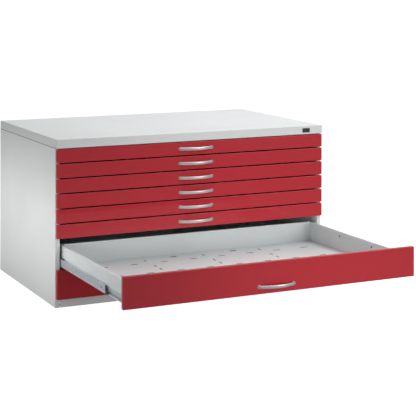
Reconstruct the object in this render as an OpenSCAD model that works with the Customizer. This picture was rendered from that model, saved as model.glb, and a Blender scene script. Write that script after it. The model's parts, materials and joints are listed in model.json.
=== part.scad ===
// Flat file cabinet for large sheets: a folded-steel carcass with six shallow and two deep drawers,
// each on a pair of three-member telescopic rails. Millimetres, +Z up, +X right, the front faces -Y.
// Origin: the middle of the carcass footprint, on the floor. Drawer 7 is drawn pulled out.

/* [Carcass] */
// Overall width
cab_w = 1350; // [1200:10:1500]
// Overall depth, drawer fronts included
cab_d = 960; // [940:10:1100]
// Overall height
cab_h = 760; // [756:1:800]
// Thickness of the folded top cover
top_t = 40; // [30:1:50]
// Thickness of the carcass's sheet steel
sheet = 1.2; // [1:0.1:1.5]
// Thickness of the trays' sheet steel
tray_sheet = 1; // [0.8:0.1:1.5]
// Width of the front return of each side panel
post_w = 20; // [18:1:24]
// Shadow gap under the top cover
cover_gap = 2; // [1:0.5:3]

/* [Drawers] */
// Height of one drawer unit
pitch = 68.2; // [66:0.1:68.2]
// Gap between two drawer fronts
front_gap = 4.5; // [3:0.5:6]
// Depth of a folded drawer front
front_d = 19; // [16:1:19]
// Corner radius of a drawer front
front_r = 3; // [2:0.5:5]
// Length of a drawer tray, front to back
tray_l = 906; // [860:1:906]
// Width of the folded rim on a tray's walls
rim_w = 12; // [8:1:16]
// How far drawer 7 is drawn out
open_7 = 865; // [600:5:865]

/* [Rails] */
// Length of each rail member
rail_l = 850; // [800:10:850]
// Height of the outer rail member
rail_h = 46; // [40:1:46]
// Share of the drawer's travel that the middle member makes
mid_share = 0.75; // [0.5:0.05:0.75]

/* [Handle] */
// Distance between the handle's two feet
handle_c = 160; // [128:16:192]
// How far the bow stands out from the drawer front
handle_out = 32; // [24:1:36]
// Height of the bow's bar
handle_h = 14; // [10:1:16]

/* [Hidden] */
$fn = 48;
grey = [0.84, 0.85, 0.85];
red = [0.62, 0.10, 0.13];
zinc = [0.75, 0.77, 0.80];
foot_black = [0.12, 0.12, 0.13];
handle_silver = [0.80, 0.81, 0.82];

// Main planes
half_w = cab_w / 2;
half_d = cab_d / 2;
front_back = -half_d + front_d;    // back of the closed drawer fronts
side_front = front_back + 1;       // front face of the side panels
stack_top = cab_h - top_t;         // top of the drawer stack
side_top = stack_top - cover_gap;
base_z = 1;                        // underside of the side panels and the plinth

// Drawer cells, numbered from the top
drawer_units = [1, 1, 1, 1, 1, 1, 2, 2];
drawer_count = len(drawer_units);
function units_above(k) = k <= 1 ? 0 : drawer_units[k - 2] + units_above(k - 1);
function cell_top(k) = stack_top - units_above(k) * pitch;
function cell_bot(k) = stack_top - units_above(k + 1) * pitch;
function is_deep(k) = drawer_units[k - 1] == 2;
function pull(k) = k == 7 ? -open_7 : 0;
floor_z = cell_bot(drawer_count) - 2;  // underside of the floor panel's sheet

// Rail positions
rail_x = half_w - post_w;          // outer face of the outer rail member
rail_t = 13;                       // thickness of a complete rail
rail_y = side_front + 5;           // front end of the rails when closed
function rail_z(k) = cell_bot(k) + 6;
function mid_pull(k) = mid_share * pull(k);

// ---------- helpers ----------
function span(half) = [-half, half];
function from(start, length) = [start, start + length];

// A block given by its [low, high] range along each axis
module box(x, y, z)
    translate([x[0], y[0], z[0]]) cube([x[1] - x[0], y[1] - y[0], z[1] - z[0]]);

module both_sides() {
    children();
    mirror([1, 0, 0]) children();
}

// A centred rectangle with rounded corners
module rounded(w, h, r) {
    square([w - 2 * r, h], center = true);
    square([w, h - 2 * r], center = true);
    for (x = [-1, 1], y = [-1, 1])
        translate([x * (w / 2 - r), y * (h / 2 - r)]) circle(r);
}

// ---------- carcass ----------
// Folded cover: a flat sheet with four skirts, and a lip turned in under each skirt
cover_lip = 22;
module top_cover() color(grey) difference() {
    box(span(half_w), span(half_d), [stack_top, cab_h]);
    box(span(half_w - sheet), span(half_d - sheet), [stack_top + sheet, cab_h - sheet]);
    box(span(half_w - cover_lip), span(half_d - cover_lip), [stack_top - 1, stack_top + sheet + 1]);
}

back_t = 1.5;                      // thickness of the back panel and the rear returns
back_y = half_d - 4;               // front face of the back panel
hem_d = 4;                         // depth of the hem behind the front return

// Folded side: outer skin, front return with a hem behind it, and rear, bottom and top returns
module side_panel_left() color(grey) difference() {
    height = [base_z, side_top];
    width = [-half_w, -rail_x];
    union() {
        box(from(-half_w, sheet), [side_front, half_d], height);
        box(width, from(side_front, sheet), height);
        box([-rail_x - sheet, -rail_x], from(side_front, hem_d), height);
        box(width, [back_y - back_t, back_y], height);
        for (z = [base_z, side_top - sheet])
            box(width, [side_front, back_y], from(z, sheet));
    }
    at_screws([-1]) screw_hole();
}
module side_panel_right() mirror([1, 0, 0]) side_panel_left();

module back_panel() color(grey) difference() {
    box(span(half_w - sheet - 0.3), from(back_y, back_t), [4, side_top - 1]);
    at_screws() screw_hole();
}

// Screw axes start at the rear plane and run forward, a row up each side
screw_x = half_w - 11;
screw_z = [90, 270, 450, 630];
module at_screws(sides = [-1, 1])
    for (side = sides, z = screw_z)
        translate([side * screw_x, half_d, z]) rotate([90, 0, 0]) children();
module screw_hole() cylinder(r = 2.6, h = 20);

// Pan-head screws with a cross slot, which hold the back panel to the rear returns
slot_l = 6;
slot_w = 1;
module carcass_screws() color(zinc) at_screws() difference() {
    union() {
        cylinder(r = 4.5, h = 2.5);
        translate([0, 0, 1]) cylinder(r = 2.5, h = 10);
    }
    translate([-slot_l / 2, -slot_w / 2, -0.1]) cube([slot_l, slot_w, 1.3]);
    translate([-slot_w / 2, -slot_l / 2, -0.1]) cube([slot_w, slot_l, 1.3]);
}

// One foot per corner and one under the middle
foot_x = half_w - 48;
foot_front = side_front + 46;
foot_back = half_d - 50;
feet = [
    [-foot_x, foot_front], [foot_x, foot_front],
    [-foot_x, foot_back], [foot_x, foot_back],
    [0, 0],
];

// Floor sheet with a flange turned down along its two sides and near its front edge
floor_half_w = rail_x - 0.4;
floor_back = half_d - 6;
flange_y = side_front + 18;
flange_h = 14;
module floor_panel() color(grey) difference() {
    flange_z = [floor_z - flange_h, floor_z + sheet];
    union() {
        box(span(floor_half_w), [side_front + 4, floor_back], from(floor_z, sheet));
        box(span(floor_half_w), from(flange_y, sheet), flange_z);
        both_sides() box(from(-floor_half_w, sheet), [flange_y, floor_back], flange_z);
    }
    for (p = feet) translate([p[0], p[1], 0]) cylinder(r = 5.2, h = 100);
}

// Folded plinth: a front sheet with a deep top return and a narrow bottom one
plinth_top = floor_z - 0.5;
plinth_d = 16;
plinth_lip = 3;
module plinth_panel() color(grey) difference() {
    past_back = side_front + plinth_d + 1;
    box(span(rail_x - 2.5), from(side_front, plinth_d), [base_z, plinth_top]);
    box(span(rail_x), [side_front + sheet, past_back], [base_z + sheet, plinth_top - sheet]);
    box(span(rail_x), [side_front + plinth_lip, past_back], [0, floor_z - 10]);
}

// Adjustable feet: disc, cone, threaded stem, and a lock nut under the floor panel
disc_r = 18;
disc_h = 6;
stem_z = 10;
module levelling_feet() color(foot_black) for (p = feet) translate([p[0], p[1], 0]) {
    cylinder(r = disc_r, h = disc_h);
    translate([0, 0, disc_h]) cylinder(r1 = disc_r, r2 = 9, h = 5, $fn = 64);
    translate([0, 0, stem_z]) cylinder(r = 5, h = floor_z + 6 - stem_z);
    translate([0, 0, floor_z - 7]) difference() {
        cylinder(r = 9.8, h = 6, $fn = 6);
        translate([0, 0, -1]) cylinder(r = 5.1, h = 8);
    }
}

// Upright channels beside the side panels, open towards the skin: the rails are fixed to them
upright_y = [side_front + 14, -20, half_d - 90];
upright_d = 40;
upright_lip = 8;                   // width of the lips beside the open side
fixing_w = 6;                      // upright slot behind each rail
fixing_h = 18;
module runner_post(y) {
    skin = -half_w + sheet;
    face = -rail_x - 0.1;
    difference() {
        box([skin + 0.5, face], from(y, upright_d), [3, side_top - 2]);
        box([skin + 2, face - sheet], [y + sheet, y + upright_d - sheet], [0, stack_top]);
        box(from(-half_w, 8), [y + upright_lip, y + upright_d - upright_lip], [0, stack_top]);
        for (k = [1:drawer_count])
            box([-rail_x - 4, -rail_x + 1],
                from(y + (upright_d - fixing_w) / 2, fixing_w),
                from(rail_z(k) + (rail_h - fixing_h) / 2, fixing_h));
    }
}
module runner_posts() color(grey) both_sides() for (y = upright_y) runner_post(y);

// Channels, open below, that tie the two sides together under the cover
tie_d = 40;
tie_h = 9;
tie_top = side_top - 1;
module cross_rail(y) difference() {
    box(span(rail_x - 0.5), from(y, tie_d), [tie_top - tie_h, tie_top]);
    box(span(rail_x + 1), [y + sheet, y + tie_d - sheet], [tie_top - tie_h - 1, tie_top - sheet]);
}
module cross_rails() color(grey) {
    cross_rail(side_front + 6);
    cross_rail(half_d - 60);
}

// ---------- rails ----------
// Sections are drawn from the outer lower corner of the left rail: x away from the side panel,
// y upwards. An inset is measured from both the bottom and the top of the outer member.

// One upright strip, as high as the insets leave
module strip(x, inset, w) translate([x, inset]) square([w, rail_h - 2 * inset]);

// Two equal blocks, one above the bottom inset and one below the top inset
module block_pair(x, inset, w, h)
    for (y = [inset, rail_h - inset - h]) translate([x, y]) square([w, h]);

// Outer member: a C with its open side towards the drawer and turned-in lips
module outer_section() {
    width = 9.6;
    metal = 1.2;
    strip(x = 0, inset = 0, w = metal);
    block_pair(x = 0, inset = 0, w = width, h = metal);
    block_pair(x = width - metal, inset = 0, w = metal, h = 2.6);
}

// Middle member: web and flanges, a raised bead at top and bottom, and a stiffened web
module mid_section() {
    web_x = 4.4;
    inset = 5;
    metal = 1.1;
    strip(x = web_x, inset = inset, w = metal);
    block_pair(x = web_x, inset = inset, w = 11 - web_x, h = metal);
    block_pair(x = 3.2, inset = inset, w = 1.3, h = 5.4);
    strip(x = 3.6, inset = 15, w = 0.9);
}

// Inner member: a narrower C with its web against the tray and turned-in lips
module inner_section() {
    lip_x = 6.6;
    inset = 9.6;
    metal = 1;
    strip(x = rail_t - metal, inset = inset, w = metal);
    block_pair(x = lip_x, inset = inset, w = rail_t - lip_x, h = metal);
    block_pair(x = lip_x, inset = inset, w = metal, h = 4.2);
}

// Plastic buffer in the mouth of the outer member, beside and below the middle one
module outer_bumper_section() difference() {
    strip(x = 1.4, inset = 1.4, w = 6.8);
    translate([2.9, 4.6]) square([6, rail_h]);
    block_pair(x = 2.2, inset = 16, w = 6, h = 3);
}

// Plastic buffer at the front end of the middle member, round the inner one
module mid_bumper_section() difference() {
    strip(x = 5.7, inset = 6.3, w = 5);
    strip(x = 6.3, inset = 9.2, w = 6);
}

// Plastic stop clip on the top flange of the middle member
module clip_section() translate([3.4, rail_h - 5]) square([4.6, 3.3]);

// Runs a section along both sides of drawer k; y is measured from the closed rails' front end
module rail_pair(k, y, length) both_sides()
    translate([-rail_x, rail_y + y, rail_z(k)]) rotate([90, 0, 0])
        translate([0, 0, -length]) linear_extrude(length) children();

module outer_rails() color(zinc)
    for (k = [1:drawer_count]) rail_pair(k, 0, rail_l) outer_section();

module outer_rail_bumpers() color("black")
    for (k = [1:drawer_count]) rail_pair(k, -4, 20) outer_bumper_section();

module inner_rails(k) color(zinc) rail_pair(k, pull(k), rail_l) inner_section();

mid_back = 34;                     // setback of the middle member's steel from the rails' front end
module mid_rails(k) color(zinc)
    rail_pair(k, mid_pull(k) + mid_back, rail_l - mid_back) mid_section();

// Cuts that leave the nose of the middle buffer as a wavy spring, from the nose's front end
nose_l = 38;                       // length of the buffer in front of the steel
notch_r = 4.2;
// Notches, one from the front edge and one from behind: y from, y to, z of the centre line
nose_notches = [[-1, 17, 22.7], [21, nose_l, 11.2]];
// Round cuts, the notches' ends and three corners: y, z, radius
nose_rounds = [
    [17, 22.7, notch_r], [21, 11.2, notch_r],
    [0, -1, 9], [0, 36, 5], [37, 32, 4],
];
module nose_cuts(k) {
    cut_w = 6;
    both_sides()
        translate([-rail_x + 3, rail_y + mid_pull(k) + mid_back - nose_l, rail_z(k) + 6]) {
            for (n = nose_notches)
                box([0, cut_w], [n[0], n[1]], [n[2] - notch_r, n[2] + notch_r]);
            for (c = nose_rounds)
                translate([0, c[0], c[1]]) rotate([0, 90, 0]) cylinder(r = c[2], h = cut_w);
        }
}

clip_y = 567;                      // stop clip's place behind the front end of the steel
module mid_bumpers(k) color("black") {
    steel_y = mid_pull(k) + mid_back;
    difference() {
        rail_pair(k, steel_y - nose_l, nose_l + 8) mid_bumper_section();
        nose_cuts(k);
    }
    rail_pair(k, steel_y + clip_y, 46) clip_section();
}

// ---------- drawers ----------
// Folded front: skin, four skirts and a lip turned in behind them
front_w = cab_w - 4;
front_lip = 12;
module drawer_front(k) color(red) {
    h = drawer_units[k - 1] * pitch - front_gap;
    translate([0, pull(k) - half_d, (cell_top(k) + cell_bot(k)) / 2]) difference() {
        translate([0, front_d, 0]) rotate([90, 0, 0])
            linear_extrude(front_d) rounded(front_w, h, front_r);
        box(span(front_w / 2 - sheet), [sheet, front_d - sheet], span(h / 2 - sheet));
        box(span(front_w / 2 - front_lip), from(sheet + 1, front_d), span(h / 2 - front_lip));
    }
}

// Slots in the tray floor, centred on every pair of the given places
module slot_grid(places_x, places_y, w, l)
    for (x = places_x, y = places_y) translate([x - w / 2, y - l / 2, -1]) cube([w, l, 4]);

// Slots that take the dividers, with y measured from the face of the drawer front:
// rows of cross slots, columns of slots that run front to back, and a rear row
module divider_slots() {
    slot_grid([-480:144:528], [200, 390, 580, 782], w = 34, l = 8);
    slot_grid([-264, 27, 318], [228, 298, 432, 502, 637, 707, 838], w = 6, l = 32);
    slot_grid([-114, 190], [863], w = 30, l = 14);
}

// Folded tray: floor and four walls from one sheet, with a rim and a lip turned in along the
// sides and the back; a deep tray also has two round holes in each side wall
tray_x = rail_x - rail_t - 0.1;    // outer face of a tray's side wall
rim_lip = 7;                       // height of the lip turned down from the rim
hole_y = [321, 622];               // from the face of the drawer front
module drawer_tray(k) color(grey) {
    bottom = cell_bot(k) + 8;
    top = cell_bot(k) + (is_deep(k) ? 104 : 54);
    front = front_back + pull(k);
    back = front + tray_l;
    face = front - front_d;
    rim_back = back - rim_w;
    rim_x = tray_x - rim_w;
    wall_z = [bottom, top];
    rim_z = [top - tray_sheet, top];
    lip_z = [top - rim_lip, top];
    difference() {
        union() {
            box(span(tray_x), [front, back], from(bottom, tray_sheet));
            for (y = [front, back - tray_sheet]) box(span(tray_x), from(y, tray_sheet), wall_z);
            box(span(tray_x), [rim_back, back], rim_z);
            box(span(rim_x + tray_sheet), from(rim_back, tray_sheet), lip_z);
            both_sides() {
                box(from(-tray_x, tray_sheet), [front, back], wall_z);
                box([-tray_x, -rim_x], [front, back], rim_z);
                box([-rim_x - tray_sheet, -rim_x], [front, rim_back + tray_sheet], lip_z);
            }
        }
        translate([0, face, bottom]) divider_slots();
        if (is_deep(k)) for (side = [-1, 1], y = hole_y)
            translate([side * tray_x, face + y, bottom + 70])
                rotate([0, 90, 0]) cylinder(r = 3.2, h = 8, center = true);
    }
}

// Bow handle: part of a ring between two round feet
bow_t = 8;                         // thickness of the bow's bar
handle_z = 31;                     // handle axis above the lower edge of the front
module drawer_handle(k) color(handle_silver) {
    rise = handle_out - bow_t;
    bow_r = (handle_c * handle_c / 4 + rise * rise) / (2 * rise);
    translate([0, pull(k) - half_d, cell_bot(k) + front_gap / 2 + handle_z]) {
        intersection() {
            translate([0, bow_r - rise - bow_t / 2, 0])
                rotate_extrude($fn = 180) translate([bow_r, 0]) rounded(bow_t, handle_h, 3);
            box(span((handle_c + bow_t) / 2), [-handle_out - 1, -2], span(20));
        }
        for (side = [-1, 1])
            translate([side * handle_c / 2, 0, 0]) rotate([90, 0, 0]) cylinder(r = 8, h = 9);
    }
}

top_cover();
side_panel_left();
side_panel_right();
back_panel();
floor_panel();
plinth_panel();
runner_posts();
cross_rails();
outer_rails();
outer_rail_bumpers();
levelling_feet();
carcass_screws();
for (k = [1:drawer_count]) {
    drawer_front(k);
    drawer_tray(k);
    drawer_handle(k);
    inner_rails(k);
    mid_rails(k);
    mid_bumpers(k);
}
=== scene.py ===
import json
import math

import bmesh
import bpy
from mathutils import Matrix, Vector


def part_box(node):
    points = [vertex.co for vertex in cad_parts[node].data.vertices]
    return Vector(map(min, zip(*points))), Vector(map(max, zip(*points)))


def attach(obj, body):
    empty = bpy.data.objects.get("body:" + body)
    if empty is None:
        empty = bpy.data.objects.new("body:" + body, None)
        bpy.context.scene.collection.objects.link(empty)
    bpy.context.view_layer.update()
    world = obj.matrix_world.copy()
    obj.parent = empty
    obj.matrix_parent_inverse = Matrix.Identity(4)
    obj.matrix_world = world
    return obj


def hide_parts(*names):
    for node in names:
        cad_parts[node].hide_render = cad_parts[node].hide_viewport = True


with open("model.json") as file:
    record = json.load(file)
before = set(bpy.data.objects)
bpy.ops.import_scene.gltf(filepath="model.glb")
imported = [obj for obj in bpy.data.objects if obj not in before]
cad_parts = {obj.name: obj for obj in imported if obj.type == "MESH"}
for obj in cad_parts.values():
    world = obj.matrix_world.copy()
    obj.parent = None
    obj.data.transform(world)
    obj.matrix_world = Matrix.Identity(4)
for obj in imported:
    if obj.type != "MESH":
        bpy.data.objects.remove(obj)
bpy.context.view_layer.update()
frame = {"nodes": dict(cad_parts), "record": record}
NODES = frame["nodes"]
scene = bpy.context.scene
UNITS = [1, 1, 1, 1, 1, 1, 2, 2]
DRAWERS = range(1, 9)


# ------------------------------------------------------------------ materials
class Mat:
    """A node material on object coordinates, in metres, so that grain and wear have their real size."""

    def __init__(self, name, base, rough, metal=0.0, spec=0.5):
        self.m = bpy.data.materials.new(name)
        self.m.use_nodes = True
        self.m.diffuse_color = (*base, 1.0)
        self.t = self.m.node_tree
        self.t.nodes.clear()
        self.out = self.t.nodes.new("ShaderNodeOutputMaterial")
        self.b = self.t.nodes.new("ShaderNodeBsdfPrincipled")
        self.t.links.new(self.b.outputs[0], self.out.inputs["Surface"])
        self.b.inputs["Base Color"].default_value = (*base, 1)
        self.b.inputs["Roughness"].default_value = rough
        self.b.inputs["Metallic"].default_value = metal
        self.b.inputs["Specular IOR Level"].default_value = spec
        self.co = self.t.nodes.new("ShaderNodeTexCoord").outputs["Object"]
        self.base, self.rough = base, rough
        self.color, self.roughness, self.normal = None, None, None

    def node(self, kind, **values):
        n = self.t.nodes.new(kind)
        for k, v in values.items():
            if hasattr(n, k):
                setattr(n, k, v)
            else:
                n.inputs[k.replace("_", " ")].default_value = v
        return n

    def link(self, a, b):
        self.t.links.new(a, b)

    def stretch(self, scale):
        n = self.node("ShaderNodeMapping")
        n.inputs["Scale"].default_value = scale
        self.link(self.co, n.inputs["Vector"])
        return n.outputs[0]

    def noise(self, scale, detail=3.0, rough=0.5, stretch=None):
        n = self.node("ShaderNodeTexNoise")
        n.inputs["Scale"].default_value = scale
        n.inputs["Detail"].default_value = detail
        n.inputs["Roughness"].default_value = rough
        self.link(self.stretch(stretch) if stretch else self.co, n.inputs["Vector"])
        return n.outputs["Fac"]

    def remap(self, fac, a, b, lo=0.0, hi=1.0, smooth=True):
        n = self.node("ShaderNodeMapRange")
        n.interpolation_type = "SMOOTHSTEP" if smooth else "LINEAR"
        for i, v in ((1, a), (2, b), (3, lo), (4, hi)):
            n.inputs[i].default_value = v
        self.link(fac, n.inputs[0])
        return n.outputs[0]

    def mix(self, fac, a, b):
        n = self.node("ShaderNodeMix")
        n.data_type = "RGBA"
        for sock, v in ((n.inputs[6], a), (n.inputs[7], b)):
            if isinstance(v, tuple):
                sock.default_value = (*v, 1) if len(v) == 3 else v
            else:
                self.link(v, sock)
        if isinstance(fac, float):
            n.inputs[0].default_value = fac
        else:
            self.link(fac, n.inputs[0])
        return n.outputs[2]

    def math(self, op, a, b=0.0, clamp=False):
        n = self.node("ShaderNodeMath")
        n.operation = op
        n.use_clamp = clamp
        for i, v in enumerate((a, b)):
            if isinstance(v, (int, float)):
                n.inputs[i].default_value = v
            else:
                self.link(v, n.inputs[i])
        return n.outputs[0]

    def edges(self, radius):
        """1 on sharp edges, 0 on flats."""
        bev = self.node("ShaderNodeBevel")
        bev.samples = 4
        bev.inputs["Radius"].default_value = radius
        geo = self.node("ShaderNodeNewGeometry")
        d = self.node("ShaderNodeVectorMath")
        d.operation = "DOT_PRODUCT"
        self.link(bev.outputs[0], d.inputs[0])
        self.link(geo.outputs["Normal"], d.inputs[1])
        return self.remap(d.outputs["Value"], 0.995, 0.90, 0.0, 1.0)

    def bump(self, height, strength, distance):
        n = self.node("ShaderNodeBump")
        n.inputs["Strength"].default_value = strength
        n.inputs["Distance"].default_value = distance
        self.link(height, n.inputs["Height"])
        if self.normal is not None:
            self.link(self.normal, n.inputs["Normal"])
        self.normal = n.outputs[0]

    def done(self):
        if self.color is not None:
            self.link(self.color, self.b.inputs["Base Color"])
        if self.roughness is not None:
            self.link(self.roughness, self.b.inputs["Roughness"])
        if self.normal is not None:
            self.link(self.normal, self.b.inputs["Normal"])
        return self.m


def tint(c, k, add=0.0):
    return tuple(min(1.0, x * k + add) for x in c)


def powder_coat(name, base, rough, spec, edge_highlight_gain=1.06, grain=1.0, coat=0.0, variation=0.03, seed=0.0):
    """Sprayed and baked powder coat: fine orange peel, faint cloudiness, and edges painted lighter as a painted
    highlight, broken into patches like wear.
    """
    m = Mat(name, base, rough, 0.0, spec)
    cloud = m.noise(2.3 + seed, 2.0, 0.45)
    speck = m.noise(900.0, 2.0, 0.6)
    col = m.mix(m.remap(cloud, 0.3, 0.7), tint(base, 1 - variation), tint(base, 1 + variation * 0.6))
    col = m.mix(m.remap(speck, 0.35, 0.65, 0.0, 0.22), col, tint(base, 0.93))
    # painted highlight: the edge mask, thinned in patches, lightens the colour along the edges by the edge gain
    wear = m.math("MULTIPLY", m.edges(0.0012), m.remap(m.noise(14.0, 3.0), 0.3, 0.65, 0.35, 1.0))
    m.color = m.mix(wear, col, tint(base, edge_highlight_gain, 0.015))
    rub = m.noise(7.0, 4.0, 0.6)
    m.roughness = m.math("ADD", m.remap(rub, 0.3, 0.7, rough - 0.035, rough + 0.05), m.math("MULTIPLY", wear, -0.05))
    peel = m.noise(420.0, 2.0, 0.5)
    m.bump(peel, 0.10 * grain, 0.00022)
    m.bump(m.noise(1700.0, 2.0, 0.6), 0.10 * grain, 0.00006)
    if coat:
        m.b.inputs["Coat Weight"].default_value = coat
        m.b.inputs["Coat Roughness"].default_value = 0.05
    return m.done()


def zinc(name):
    """Bright zinc plate on cold-rolled strip: lengthwise drawing lines, faint blue passivation, dull patches."""
    base = (0.70, 0.735, 0.78)
    m = Mat(name, base, 0.34, 0.75, 0.5)
    lines = m.noise(60.0, 4.0, 0.7, stretch=(22.0, 0.12, 22.0))
    patch = m.noise(26.0, 3.0, 0.55)
    blue = m.noise(6.0, 2.0, 0.5)
    col = m.mix(m.remap(lines, 0.3, 0.7), tint(base, 0.86), tint(base, 1.12))
    col = m.mix(m.remap(blue, 0.35, 0.7, 0.0, 0.4), col, (0.66, 0.73, 0.84))
    wear = m.edges(0.0006)
    m.color = m.mix(m.math("MULTIPLY", wear, 0.6), col, (0.93, 0.95, 0.97))
    m.roughness = m.remap(patch, 0.3, 0.7, 0.26, 0.42)
    m.bump(lines, 0.18, 0.0002)
    return m.done()


def satin_metal(name):
    """Satin silver handle: fine brushed grain along the bow, brighter rubbed crown."""
    base = (0.69, 0.69, 0.685)
    m = Mat(name, base, 0.27, 0.92, 0.5)
    grain = m.noise(60.0, 3.0, 0.55, stretch=(0.5, 30.0, 30.0))
    soft = m.noise(30.0, 2.0, 0.5)
    col = m.mix(m.remap(grain, 0.3, 0.7), tint(base, 0.96), tint(base, 1.04))
    wear = m.edges(0.0009)
    m.color = m.mix(m.math("MULTIPLY", wear, 0.5), col, (0.88, 0.88, 0.87))
    m.roughness = m.remap(soft, 0.3, 0.7, 0.30, 0.37)
    m.bump(grain, 0.03, 0.00006)
    return m.done()


def plastic(name, base, rough):
    """Moulded plastic with a fine spark-eroded texture."""
    m = Mat(name, base, rough, 0.0, 0.5)
    blot = m.noise(60.0, 3.0, 0.5)
    m.color = m.mix(m.remap(blot, 0.3, 0.7), tint(base, 0.8), tint(base, 1.3, 0.004))
    wear = m.edges(0.0005)
    m.color = m.mix(m.math("MULTIPLY", wear, 0.5), m.color, tint(base, 2.2, 0.02))
    m.roughness = m.remap(m.noise(90.0, 2.0), 0.3, 0.7, rough - 0.06, rough + 0.08)
    m.bump(m.noise(1400.0, 2.0, 0.6), 0.25, 0.0001)
    return m.done()


M = {
    "cover_grey": powder_coat("Cover_grey_powder_coat", (0.72, 0.735, 0.73), 0.42, 0.45),
    "carcass_grey": powder_coat("Carcass_grey_powder_coat", (0.76, 0.77, 0.765), 0.42, 0.45, seed=0.4),
    "tray_grey": powder_coat("Tray_grey_powder_coat", (0.735, 0.775, 0.778), 0.45, 0.4, seed=0.7),
    # the fronts' edges carry a strong painted highlight, edge gain 1.35
    "front_red": powder_coat("Front_red_powder_coat", (0.455, 0.021, 0.032), 0.42, 0.15, edge_highlight_gain=1.35, grain=0.5, variation=0.02, coat=0.75),
    "zinc_steel": zinc("Zinc_plated_strip"),
    "buffer_black": plastic("Buffer_black_plastic", (0.012, 0.013, 0.016), 0.45),
    "foot_black": plastic("Foot_black_plastic", (0.03, 0.03, 0.033), 0.5),
    "handle_silver": satin_metal("Handle_satin_silver"),
    # dark plastic for the rail latch and stops, and painted shade in the cover gap, the divider slots, the wall holes
    # and the rail grooves
    "dark_plastic_and_shade": plastic("Dark_plastic_and_painted_shade", (0.02, 0.022, 0.025), 0.6),
    "badge_dark": plastic("Badge_dark_plate", (0.022, 0.022, 0.025), 0.35),
    "rivet_steel": zinc("Rivet_zinc"),
}
for sub in frame["record"]["subparts"]:
    o = NODES[sub["node"]]
    o.data.materials.clear()
    o.data.materials.append(M[sub["material_slot"]])


# ------------------------------------------------------------------ geometry helpers
def new_object(name, bm, material, body, smooth_angle=35.0, weighted=True):
    bmesh.ops.recalc_face_normals(bm, faces=bm.faces[:])
    me = bpy.data.meshes.new(name)
    bm.to_mesh(me)
    bm.free()
    for p in me.polygons:
        p.use_smooth = True
    me.set_sharp_from_angle(angle=math.radians(smooth_angle))
    o = bpy.data.objects.new(name, me)
    scene.collection.objects.link(o)
    me.materials.append(material)
    if weighted:
        w = o.modifiers.new("Flat_faces_stay_flat", "WEIGHTED_NORMAL")
        w.keep_sharp = True
        w.weight = 60
    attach(o, body)
    return o


def outline(w, h, r, inset, n=6):
    """A rounded rectangle with the same number of points at any inset."""
    r = max(r - inset, 0.00015)
    hw, hh = w / 2 - inset - r, h / 2 - inset - r
    pts = []
    for q, (sx, sy) in enumerate(((1, 1), (-1, 1), (-1, -1), (1, -1))):
        for i in range(n + 1):
            a = math.pi / 2 * (q + i / n)
            pts.append((sx * hw + r * math.cos(a), sy * hh + r * math.sin(a)))
    return pts


def skin(bm, rings, cap_start=True, cap_end=True):
    rows = [[bm.verts.new(p) for p in ring] for ring in rings]
    for a, b in zip(rows, rows[1:]):
        n = len(a)
        for i in range(n):
            bm.faces.new((a[i], a[(i + 1) % n], b[(i + 1) % n], b[i]))
    if cap_start:
        bm.faces.new(rows[0])
    if cap_end:
        bm.faces.new(rows[-1])
    return rows


def pan(w, h, depth, sheet, fold, corner, lip, place):
    """A folded sheet pan: face, rolled edges, walls, and a lip turned in at the back."""
    rings = []

    def ring(inset, d):
        rings.append([place(u, v, d) for u, v in outline(w, h, corner, inset)])

    steps = 5
    for i in range(steps + 1):
        a = math.pi / 2 * i / steps
        ring(fold * (1 - math.sin(a)), fold * (1 - math.cos(a)))
    ring(0.0, depth - 0.0011)
    for i in range(1, 4):
        a = math.pi / 2 * i / 3
        ring(0.0011 * (1 - math.cos(a)), depth - 0.0011 * (1 - math.sin(a)))
    ring(lip, depth)
    ring(lip, depth - sheet)
    ring(sheet * 1.6, depth - sheet)
    ring(sheet, depth - sheet * 1.6)
    ring(sheet, sheet * 1.5)
    ring(sheet * 1.5, sheet)
    bm = bmesh.new()
    skin(bm, rings)
    return bm


def lathe(bm, profile, place, n=24):
    """A closed turned shape: profile is (radius, height) from the middle of one end to the middle of the other."""
    rings = [[place(r * math.cos(2 * math.pi * i / n), r * math.sin(2 * math.pi * i / n), h) for i in range(n)] for r, h in profile]
    skin(bm, rings)


def block(bm, x0, x1, y0, y1, z0, z1, c=0.0):
    """A box with chamfered edges, as one closed skin."""
    c = min(c, (x1 - x0) / 2.2, (y1 - y0) / 2.2, (z1 - z0) / 2.2)

    def ring(z, i):
        return [(x0 + i, y0 + c, z), (x0 + c, y0 + i, z), (x1 - c, y0 + i, z), (x1 - i, y0 + c, z),
                (x1 - i, y1 - c, z), (x1 - c, y1 - i, z), (x0 + c, y1 - i, z), (x0 + i, y1 - c, z)]

    if c <= 0:
        rings = [[(x0, y0, z), (x1, y0, z), (x1, y1, z), (x0, y1, z)] for z in (z0, z1)]
    else:
        k = c * 0.45
        rings = [ring(z0, k), ring(z0 + c, 0.0), ring(z1 - c, 0.0), ring(z1, k)]
    skin(bm, rings)


def soften(node, width, segments=2, angle=35.0):
    """Rounds a carried-over CAD node's edges with modifiers; its mesh stays as it came."""
    o = NODES[node]
    wd = o.modifiers.new("Weld", "WELD")
    wd.merge_threshold = 0.00002
    dc = o.modifiers.new("Merge_flat_faces", "DECIMATE")
    dc.decimate_type = "DISSOLVE"
    dc.angle_limit = math.radians(1.0)
    bv = o.modifiers.new("Soft_edges", "BEVEL")
    bv.width = width
    bv.segments = segments
    bv.limit_method = "ANGLE"
    bv.angle_limit = math.radians(angle)
    bv.use_clamp_overlap = True
    bv.miter_outer = "MITER_ARC"
    wn = o.modifiers.new("Flat_faces_stay_flat", "WEIGHTED_NORMAL")
    wn.keep_sharp = True
    return o


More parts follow.
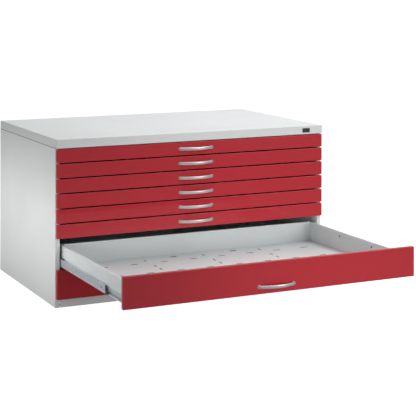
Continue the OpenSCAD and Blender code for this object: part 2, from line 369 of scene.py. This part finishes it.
# ------------------------------------------------------------------ drawer fronts and cover
SHEET = 0.0012
for k in DRAWERS:
    lo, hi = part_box(f"drawer_{k}_front")
    top, bot = hi.z - (0.0015 if k == 1 else 0.0005), lo.z + 0.0005  # the paint's gaps read a little wider than the sheet's
    cx, cz = (lo.x + hi.x) / 2, (top + bot) / 2
    bm = pan(hi.x - lo.x, top - bot, hi.y - lo.y, SHEET, 0.0022, 0.003, 0.012,
             lambda u, v, d: (cx + u, lo.y + d, cz + v))
    o = new_object(f"drawer_{k}_front_panel", bm, M["front_red"], f"drawer_{k}")
    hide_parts(f"drawer_{k}_front")

lo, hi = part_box("top_cover")
bm = pan(hi.x - lo.x, hi.y - lo.y, hi.z - lo.z, SHEET, 0.0025, 0.0035, 0.022,
         lambda u, v, d: ((lo.x + hi.x) / 2 + u, (lo.y + hi.y) / 2 + v, hi.z - d))
cover = new_object("top_cover_folded", bm, M["cover_grey"], "carcass")
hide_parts("top_cover")

# a dark strip in the gap between the cover and the sides, painted shadow for the shadow gap
gap_shadow_strip = bmesh.new()
for sx in (-1, 1):
    x0, x1 = sorted((sx * 0.6748, sx * 0.6640))
    block(gap_shadow_strip, x0, x1, lo.y + 0.0206, hi.y - 0.0045, lo.z - 0.0019, lo.z - 0.0001, 0.0002)
new_object("cover_gap_shadow_strip", gap_shadow_strip, M["dark_plastic_and_shade"], "carcass", 40.0, False)


# ------------------------------------------------------------------ handles
def handle(k):
    lo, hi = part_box(f"drawer_{k}_handle")
    fl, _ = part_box(f"drawer_{k}_front")
    cx, cz, y0 = (lo.x + hi.x) / 2, (lo.z + hi.z) / 2, fl.y
    half = (hi.x - lo.x) / 2 - 0.008
    out = y0 - lo.y
    t_mid = 0.008
    sag = out - t_mid / 2 - 0.004
    R = (half * half + sag * sag) / (2 * sag)
    yc = out - t_mid / 2 - R
    path = [(-half, -0.0002), (-half, 0.003), (-half + 0.0012, 0.0062), (-half + 0.0042, 0.0092)]
    n = 40
    x1 = half - 0.009
    for i in range(n + 1):
        x = -x1 + 2 * x1 * i / n
        path.append((x, yc + math.sqrt(R * R - x * x)))
    path += [(half - 0.0042, 0.0092), (half - 0.0012, 0.0062), (half, 0.003), (half, -0.0002)]
    pts = [Vector((x, y)) for x, y in path]
    for _ in range(3):
        keep = pts[:]
        for i in range(2, len(pts) - 2):
            pts[i] = keep[i] * 0.5 + (keep[i - 1] + keep[i + 1]) * 0.25
    rings, m = [], 20
    for i, p in enumerate(pts):
        d = (pts[min(i + 1, len(pts) - 1)] - pts[max(i - 1, 0)]).normalized()
        nrm = Vector((-d.y, d.x))
        s = min(1.0, abs(p.x) / half)
        end = max(0.0, (s - 0.8) / 0.2)
        th = t_mid / 2 * (1 - 0.06 * s) * (1 + 0.30 * end * end)
        hh = 0.007 * (1 + 0.06 * end * end)
        ring = []
        for j in range(m):
            a = 2 * math.pi * j / m
            ca, sa = math.cos(a), math.sin(a)
            e = 2 / 2.7
            u = th * math.copysign(abs(ca) ** e, ca)
            w = hh * math.copysign(abs(sa) ** e, sa)
            q = p + nrm * u
            ring.append((cx + q.x, y0 - q.y, cz + w))
        rings.append(ring)
    bm = bmesh.new()
    skin(bm, rings)
    for sx in (-1, 1):
        lathe(bm, [(0.0002, 0.0), (0.0082, 0.0), (0.0084, 0.0004), (0.0084, 0.0012), (0.0079, 0.0018), (0.0002, 0.0018)],
              lambda u, v, h: (cx + sx * half + u, y0 - h, cz + v), 32)
    o = new_object(f"drawer_{k}_bow_handle", bm, M["handle_silver"], f"drawer_{k}", 50.0, False)
    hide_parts(f"drawer_{k}_handle")


for k in DRAWERS:
    handle(k)


# ------------------------------------------------------------------ dark pockets under the tray floors' divider slots, painted shade
def slot_shade_pockets(k):
    lo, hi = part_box(f"drawer_{k}_tray")
    y0, z = lo.y - 0.019, lo.z
    mid = (lo.x + hi.x) / 2
    spots = [(mid - 0.480 + 0.144 * i, y0 + y, 0.017, 0.004) for y in (0.200, 0.390, 0.580, 0.782) for i in range(8)]
    spots += [(mid + x, y0 + y, 0.003, 0.016) for x in (-0.264, 0.027, 0.318) for y in (0.228, 0.298, 0.432, 0.502, 0.637, 0.707, 0.838)]
    spots += [(mid + x, y0 + 0.863, 0.015, 0.007) for x in (-0.114, 0.190)]
    bm = bmesh.new()
    for x, y, a, b in spots:
        t, deep, top = 0.0007, 0.0045, z + 0.00112
        a, b = a - 0.00008, b - 0.00008
        outer = [(x - a, y - b), (x + a, y - b), (x + a, y + b), (x - a, y + b)]
        a, b = a - t, b - t
        inner = [(x - a, y - b), (x + a, y - b), (x + a, y + b), (x - a, y + b)]
        skin(bm, [[(p, q, z - deep) for p, q in outer], [(p, q, top) for p, q in outer],
                  [(p, q, top) for p, q in inner], [(p, q, z - deep + t) for p, q in inner]])
    # the pockets' dark colour is painted shade that makes the slots read dark
    return new_object(f"drawer_{k}_divider_slot_shade_pockets", bm, M["dark_plastic_and_shade"], f"drawer_{k}", 35.0, False)


def wall_hole_shade_plugs(k):
    """Dark plugs in the four holes of a deep tray's side walls, painted shade that makes the holes read dark, closed on
    the outside by flush painted caps.
    """
    lo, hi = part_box(f"drawer_{k}_tray")
    dark, caps = bmesh.new(), bmesh.new()
    for sx in (-1, 1):
        face = hi.x if sx > 0 else lo.x
        for y in (0.321, 0.622):
            def place(u, v, h, y=y):
                return (face + sx * h, lo.y + y - 0.019 + u, lo.z + 0.070 + v)
            lathe(dark, [(0.0002, -0.0005), (0.0030, -0.0005), (0.0030, -0.0011), (0.0050, -0.0011), (0.0050, -0.0014),
                         (0.0044, -0.0018), (0.0002, -0.0018)], place, 20)
            lathe(caps, [(0.0002, 0.0), (0.0031, 0.0), (0.0031, -0.00045), (0.0002, -0.00045)], place, 20)
    new_object(f"drawer_{k}_wall_hole_shade_plugs", dark, M["dark_plastic_and_shade"], f"drawer_{k}", 40.0, False)
    new_object(f"drawer_{k}_wall_plug_caps", caps, M["tray_grey"], f"drawer_{k}", 40.0, False)


for k in DRAWERS:
    slot_shade_pockets(k)
    if UNITS[k - 1] == 2:
        wall_hole_shade_plugs(k)


# ------------------------------------------------------------------ roll-formed rail members
def rounded_path(pts, r, n=4):
    """A polyline with its corners turned into arcs, as a bending roll leaves them."""
    out = [Vector(pts[0])]
    for p, q, s in zip(pts, pts[1:], pts[2:]):
        p, q, s = Vector(p), Vector(q), Vector(s)
        a, b = (p - q), (s - q)
        d = min(r, a.length * 0.45, b.length * 0.45)
        a, b = q + a.normalized() * d, q + b.normalized() * d
        for i in range(n + 1):
            t = i / n
            out.append(a * (1 - t) ** 2 + q * 2 * t * (1 - t) + b * t ** 2)
    out.append(Vector(pts[-1]))
    return out


def strip_profile(pts, thick, r):
    """Both faces of a bent strip, from its middle line."""
    mid = rounded_path(pts, r)
    left, right = [], []
    for i, p in enumerate(mid):
        d = (mid[min(i + 1, len(mid) - 1)] - mid[max(i - 1, 0)]).normalized()
        nrm = Vector((-d.y, d.x)) * thick / 2
        left.append(p + nrm)
        right.append(p - nrm)
    return left, right


def roll_formed(name, node, k, pts, thick, r, slot="zinc_steel"):
    """A pair of rail members: a bent strip run along Y over the length of the CAD node, one on each side."""
    lo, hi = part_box(node)
    left, right = strip_profile(pts, thick, r)
    x_out, z0 = 0.655, CELL_BOT[k] + 0.006
    bm = bmesh.new()
    for s in (-1, 1):
        rows = []
        for y, e in ((lo.y, 0.0004), (lo.y + 0.0005, 0.0), (hi.y - 0.0005, 0.0), (hi.y, 0.0004)):
            L = [bm.verts.new((s * (x_out - p.x), y, z0 + p.y)) for p in left]
            R = [bm.verts.new((s * (x_out - p.x), y, z0 + p.y)) for p in right]
            rows.append((L, R))
        for (L0, R0), (L1, R1) in zip(rows, rows[1:]):
            for i in range(len(left) - 1):
                bm.faces.new((L0[i], L0[i + 1], L1[i + 1], L1[i]))
                bm.faces.new((R0[i], R1[i], R1[i + 1], R0[i + 1]))
            for i in (0, -1):
                bm.faces.new((L0[i], L1[i], R1[i], R0[i]))
        for L, R in (rows[0], rows[-1]):
            for i in range(len(left) - 1):
                bm.faces.new((L[i], R[i], R[i + 1], L[i + 1]))
    o = new_object(name, bm, M[slot], BODY_OF[node], 40.0)
    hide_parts(node)
    return o


MM = 0.001
BODY_OF = {s["node"]: s["body"] for s in frame["record"]["subparts"]} if "body" in frame["record"]["subparts"][0] else {}
if not BODY_OF:
    for k in DRAWERS:
        BODY_OF[f"drawer_{k}_mid_rails"] = f"mid_rails_{k}"
        BODY_OF[f"drawer_{k}_inner_rails"] = f"drawer_{k}"
CELL_BOT = {k: 0.720 - 0.0682 * sum(UNITS[:k]) for k in DRAWERS}
MID_PATH = [(11.0, 40.45), (3.75, 40.45), (3.75, 34.9), (5.5, 33.2), (4.3, 30.8), (4.3, 26.6), (3.95, 25.8), (3.95, 20.2), (4.3, 19.4),
            (4.3, 15.2), (5.5, 12.8), (3.75, 11.1), (3.75, 5.55), (11.0, 5.55)]
INNER_PATH = [(7.1, 32.4), (7.1, 35.9), (12.5, 35.9), (12.5, 27.0), (12.0, 25.6), (12.0, 20.4), (12.5, 19.0), (12.5, 10.1), (7.1, 10.1), (7.1, 13.6)]
for k in DRAWERS:
    roll_formed(f"drawer_{k}_middle_members", f"drawer_{k}_mid_rails", k, [(x * MM, z * MM) for x, z in MID_PATH], 1.1 * MM, 1.5 * MM)
    roll_formed(f"drawer_{k}_inner_members", f"drawer_{k}_inner_rails", k, [(x * MM, z * MM) for x, z in INNER_PATH], 1.0 * MM, 1.2 * MM)


# ------------------------------------------------------------------ wavy buffers at the middle members' front ends
WAVE = [(0.5, 33.0), (8.0, 38.3), (21.0, 37.6), (30.5, 33.0), (23.0, 27.6), (9.0, 23.6), (6.5, 19.4), (16.0, 16.2), (32.0, 15.2),
        (34.0, 11.2), (20.0, 8.9), (1.0, 8.6)]


def wave_buffer(k):
    """A bent plastic spring ahead of the steel, a base plate inside it, and the stop clip on the top flange."""
    lo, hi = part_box(f"drawer_{k}_mid_bumpers")
    steel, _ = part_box(f"drawer_{k}_mid_rails")
    z0 = CELL_BOT[k] + 0.006
    left, right = strip_profile([(a * MM, b * MM) for a, b in WAVE], 4.6 * MM, 7.0 * MM)
    bm = bmesh.new()
    for sx in (-1, 1):
        rows = []
        for x, e in ((3.5, 0.35), (3.85, 0.0), (6.05, 0.0), (6.4, 0.35)):
            k0 = 1 - e * 2 / 4.6
            L, R = [], []
            for p, q in zip(left, right):
                m = (p + q) / 2
                a, b = m + (p - m) * k0, m + (q - m) * k0
                L.append(bm.verts.new((sx * (0.655 - x * MM), steel.y - a.x, z0 + a.y)))
                R.append(bm.verts.new((sx * (0.655 - x * MM), steel.y - b.x, z0 + b.y)))
            rows.append((L, R))
        for (L0, R0), (L1, R1) in zip(rows, rows[1:]):
            for i in range(len(left) - 1):
                bm.faces.new((L0[i], L0[i + 1], L1[i + 1], L1[i]))
                bm.faces.new((R0[i], R1[i], R1[i + 1], R0[i + 1]))
            for i in (0, -1):
                bm.faces.new((L0[i], L1[i], R1[i], R0[i]))
        for L, R in (rows[0], rows[-1]):
            for i in range(len(left) - 1):
                bm.faces.new((L[i], R[i], R[i + 1], L[i + 1]))

        def bar(x0, x1, y0, y1, za, zb, c):
            xs = sorted((sx * (0.655 - x0 * MM), sx * (0.655 - x1 * MM)))
            block(bm, xs[0], xs[1], y0, y1, z0 + za * MM, z0 + zb * MM, c)

        bar(5.7, 6.35, steel.y - 0.002, steel.y + 0.008, 7.0, 39.0, 0.0002)
        bar(3.4, 8.0, hi.y - 0.046, hi.y, 41.05, 44.3, 0.0008)
    o = new_object(f"mid_rails_{k}_wave_buffers", bm, M["buffer_black"], f"mid_rails_{k}", 40.0, False)
    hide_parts(f"drawer_{k}_mid_bumpers")


for k in DRAWERS:
    wave_buffer(k)


# ------------------------------------------------------------------ rail details
def rail_details(k):
    """Rivets and stamped stops that hold the members, on both sides, and dark strips in the middle members' race
    grooves as painted shade.
    """
    ilo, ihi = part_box(f"drawer_{k}_inner_rails")
    mlo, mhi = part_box(f"drawer_{k}_mid_rails")
    bi, bmid, bd, bmd = bmesh.new(), bmesh.new(), bmesh.new(), bmesh.new()
    for s in (-1, 1):
        zc = (ilo.z + ihi.z) / 2
        for y, r, web, bm in ((0.016, 0.0044, 0.6435, bd), (0.060, 0.0030, 0.6435, bi), (0.245, 0.0036, 0.6435, bi), (0.520, 0.0036, 0.6435, bi), (0.800, 0.0036, 0.6435, bi)):
            lathe(bm, [(0.0002, -0.0003), (r, -0.0003), (r, 0.0006), (r * 0.8, 0.0013), (r * 0.35, 0.0016), (0.0002, 0.0016)],
                  lambda u, v, h, y=y, web=web: (s * (web + h), ilo.y + y + u, zc + v), 20)
        zm = (mlo.z + mhi.z) / 2
        for y, dz, r, web, bm in ((0.016, -0.0040, 0.0024, 0.6516, bmd), (0.040, 0.0, 0.0034, 0.65155, bmd), (0.058, 0.0035, 0.0022, 0.6514, bmd),
                                  (0.400, 0.0, 0.0030, 0.6516, bmid), (0.790, 0.0, 0.0026, 0.6516, bmid)):
            lathe(bm, [(0.0002, -0.0008), (r, -0.0008), (r, 0.0003), (r * 0.7, 0.0008), (0.0002, 0.0008)],
                  lambda u, v, h, y=y, dz=dz, web=web: (s * (web - 0.0004 + h), mlo.y + y + u, zm + dz + v), 16)
        # dark strips in the bottoms of the two race grooves: painted shade along the grooves
        for z in (0.0332, 0.0128):
            xs = sorted((s * (0.655 - 0.00465), s * (0.655 - 0.00500)))
            block(bmd, xs[0], xs[1], mlo.y + 0.001, mhi.y - 0.001, CELL_BOT[k] + 0.006 + z - 0.0010, CELL_BOT[k] + 0.006 + z + 0.0010)
    new_object(f"drawer_{k}_inner_rail_rivets", bi, M["rivet_steel"], f"drawer_{k}", 40.0, False)
    new_object(f"mid_rails_{k}_rivets", bmid, M["rivet_steel"], f"mid_rails_{k}", 40.0, False)
    new_object(f"drawer_{k}_inner_rail_latch", bd, M["dark_plastic_and_shade"], f"drawer_{k}", 40.0, False)
    new_object(f"mid_rails_{k}_stops_and_groove_shade", bmd, M["dark_plastic_and_shade"], f"mid_rails_{k}", 40.0, False)


for k in DRAWERS:
    rail_details(k)

# ------------------------------------------------------------------ blank badge on the cover's front skirt
lo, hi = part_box("top_cover")
bm = bmesh.new()
rings = []
for inset, d in ((0.0, -0.0001), (0.0, 0.0009), (0.0002, 0.0013), (0.0007, 0.0015)):
    rings.append([(0.585 + u, lo.y - d, 0.7385 + v) for u, v in outline(0.040, 0.021, 0.003, inset)])
skin(bm, rings)
new_object("cover_blank_badge", bm, M["badge_dark"], "carcass")

# ------------------------------------------------------------------ softened edges on the nodes that stay
for node, width in (("side_panel_left", 0.0006), ("side_panel_right", 0.0006), ("plinth_panel", 0.0006), ("cross_rails", 0.0005),
                    ("levelling_feet", 0.0008), ("outer_rails", 0.0003), ("outer_rail_bumpers", 0.0003)):
    soften(node, width)


# ------------------------------------------------------------------ floor, light, camera
WORLD_LIGHT = 0.12
# name: [place, looks at, width, height, watts, colour]; a Spot_ has its cone in degrees and its lamp's radius instead of a size
LIGHTS = {
    "Key_softbox": [(4.2, -7.5, 3.0), (0.2, -0.8, 0.3), 2.6, 2.6, 125.0, (1, 0.99, 0.97)],
    "Top_wide": [(0.75, 0.1, 3.4), (0.6, 0.0, 0.7), 2.6, 2.4, 78.0, (1, 1, 1)],
    "Top_drawer": [(1.2, -2.1, 2.2), (0.55, -1.0, 0.15), 1.1, 0.7, 16.0, (1, 1, 1)],
    "Left_front": [(-4.5, -3.2, 0.8), (-0.4, -0.5, 0.35), 1.6, 0.9, 26.0, (1, 1, 1)],
    "Side_strip": [(-1.45, 0.0, 0.33), (-0.675, 0.0, 0.33), 3.6, 0.2, 5.0, (1, 0.995, 0.985)],
    "Side_near": [(-1.05, -0.05, 0.36), (-0.675, -0.05, 0.36), 1.6, 0.06, 1.7, (1, 0.995, 0.985)],
    "Side_right": [(5.0, 1.2, 1.9), (0.675, 0.1, 0.4), 2.4, 2.0, 45.0, (1, 1, 1)],
    "Back_soft": [(-1.0, 6.0, 2.0), (0.0, 0.48, 0.4), 3.0, 2.0, 45.0, (1, 1, 1)],
    "Spot_wide": [(1.0, -7.0, 0.6), (0.40, -0.95, 0.05), 24.0, 0.3, 400.0, (1, 0.99, 0.98)],
    "Spot_left": [(-1.2, -7.0, 0.9), (0.25, -0.95, 0.16), 14.0, 0.25, 150.0, (1, 0.99, 0.98)],
}


def stage_material(name, color, glow):
    m = bpy.data.materials.new(name)
    m.use_nodes = True
    t = m.node_tree
    t.nodes.clear()
    out = t.nodes.new("ShaderNodeOutputMaterial")
    add = t.nodes.new("ShaderNodeAddShader")
    dif = t.nodes.new("ShaderNodeBsdfDiffuse")
    emi = t.nodes.new("ShaderNodeEmission")
    dif.inputs["Color"].default_value = (*color, 1)
    path = t.nodes.new("ShaderNodeLightPath")
    mul = t.nodes.new("ShaderNodeMath")
    mul.operation = "MULTIPLY"
    mul.inputs[1].default_value = glow
    t.links.new(path.outputs["Is Camera Ray"], mul.inputs[0])
    t.links.new(mul.outputs[0], emi.inputs["Strength"])
    t.links.new(dif.outputs[0], add.inputs[0])
    t.links.new(emi.outputs[0], add.inputs[1])
    t.links.new(add.outputs[0], out.inputs["Surface"])
    return m


bpy.ops.mesh.primitive_plane_add(size=400, location=(0, 0, 0))
floor = bpy.context.object
floor.name = "Studio_floor"
floor.data.materials.append(stage_material("Studio_floor_white", (0.50, 0.50, 0.50), 1.0))

world = bpy.data.worlds.new("Studio_world")
scene.world = world
world.use_nodes = True
wt = world.node_tree
bg = wt.nodes["Background"]
bg.inputs[0].default_value = (0.90, 0.95, 1.0, 1)
bg.inputs[1].default_value = WORLD_LIGHT
seen = wt.nodes.new("ShaderNodeBackground")
seen.inputs[0].default_value = (1, 1, 1, 1)
seen.inputs[1].default_value = 1.0
wmix = wt.nodes.new("ShaderNodeMixShader")
wpath = wt.nodes.new("ShaderNodeLightPath")
room = wt.nodes.new("ShaderNodeBackground")
room.inputs[0].default_value = (0.97, 0.985, 1.0, 1)
room.inputs[1].default_value = 0.62
rmix = wt.nodes.new("ShaderNodeMixShader")
wt.links.new(wpath.outputs["Is Glossy Ray"], rmix.inputs[0])
wt.links.new(bg.outputs[0], rmix.inputs[1])
wt.links.new(room.outputs[0], rmix.inputs[2])
wt.links.new(wpath.outputs["Is Camera Ray"], wmix.inputs[0])
wt.links.new(rmix.outputs[0], wmix.inputs[1])
wt.links.new(seen.outputs[0], wmix.inputs[2])
wt.links.new(wmix.outputs[0], wt.nodes["World Output"].inputs[0])


def softbox(name, at, look, size, size_y, watts, color=(1, 1, 1)):
    """A rectangular softbox; one named Spot_ is a soft-edged spot with a cone in degrees and a lamp radius."""
    if name.startswith("Spot_"):
        d = bpy.data.lights.new(name, "SPOT")
        d.spot_size, d.spot_blend, d.shadow_soft_size = math.radians(size), 1.0, size_y
    else:
        d = bpy.data.lights.new(name, "AREA")
        d.shape = "RECTANGLE"
        d.size, d.size_y = size, size_y
    d.energy = watts
    d.color = color
    o = bpy.data.objects.new(name, d)
    scene.collection.objects.link(o)
    o.location = at
    o.rotation_mode = "QUATERNION"
    o.rotation_quaternion = (Vector(look) - Vector(at)).to_track_quat("-Z", "Y")
    o.visible_camera = False
    o.visible_glossy = name in ("Key_softbox", "Top_wide")
    return o


for name, values in LIGHTS.items():
    if values[4] > 0:
        softbox(name, *values)

cam = bpy.data.cameras.new("Camera")
cam.sensor_fit = "HORIZONTAL"
cam.sensor_width = 36.0
cam_obj = bpy.data.objects.new("Camera", cam)
scene.collection.objects.link(cam_obj)
scene.camera = cam_obj
F_PX, YAW, PITCH, PPX, PPY = 1382.58, 0.4885, -0.0077, 322.03, -31.53
EYE = (-2.5399, -6.5273, 1.4821)
cam.lens = F_PX * 36.0 / 416.0
fwd = Vector((math.sin(YAW) * math.cos(PITCH), math.cos(YAW) * math.cos(PITCH), -math.sin(PITCH)))
right = Vector((math.cos(YAW), -math.sin(YAW), 0.0))
up = right.cross(fwd)
cam_obj.rotation_mode = "QUATERNION"
cam_obj.rotation_quaternion = Matrix((right, up, -fwd)).transposed().to_quaternion()
cam_obj.location = EYE
cam.clip_start, cam.clip_end = 0.1, 500.0
# The lens shift belongs to this viewpoint only: it is zero wherever else the camera stands.
for path, value in (("shift_x", (208 - PPX) / 416), ("shift_y", (PPY - 208) / 416)):
    drv = cam.driver_add(path).driver
    drv.type = "SCRIPTED"
    v = drv.variables.new()
    v.name = "x"
    v.type = "TRANSFORMS"
    v.targets[0].id = cam_obj
    v.targets[0].transform_type = "LOC_X"
    v.targets[0].transform_space = "WORLD_SPACE"
    drv.expression = "%.6f if abs(x - %.6f) < 0.001 else 0.0" % (value, EYE[0])

scene.view_settings.view_transform = "Standard"
scene.view_settings.look = "None"
scene.view_settings.exposure = 0.0

bpy.context.view_layer.update()
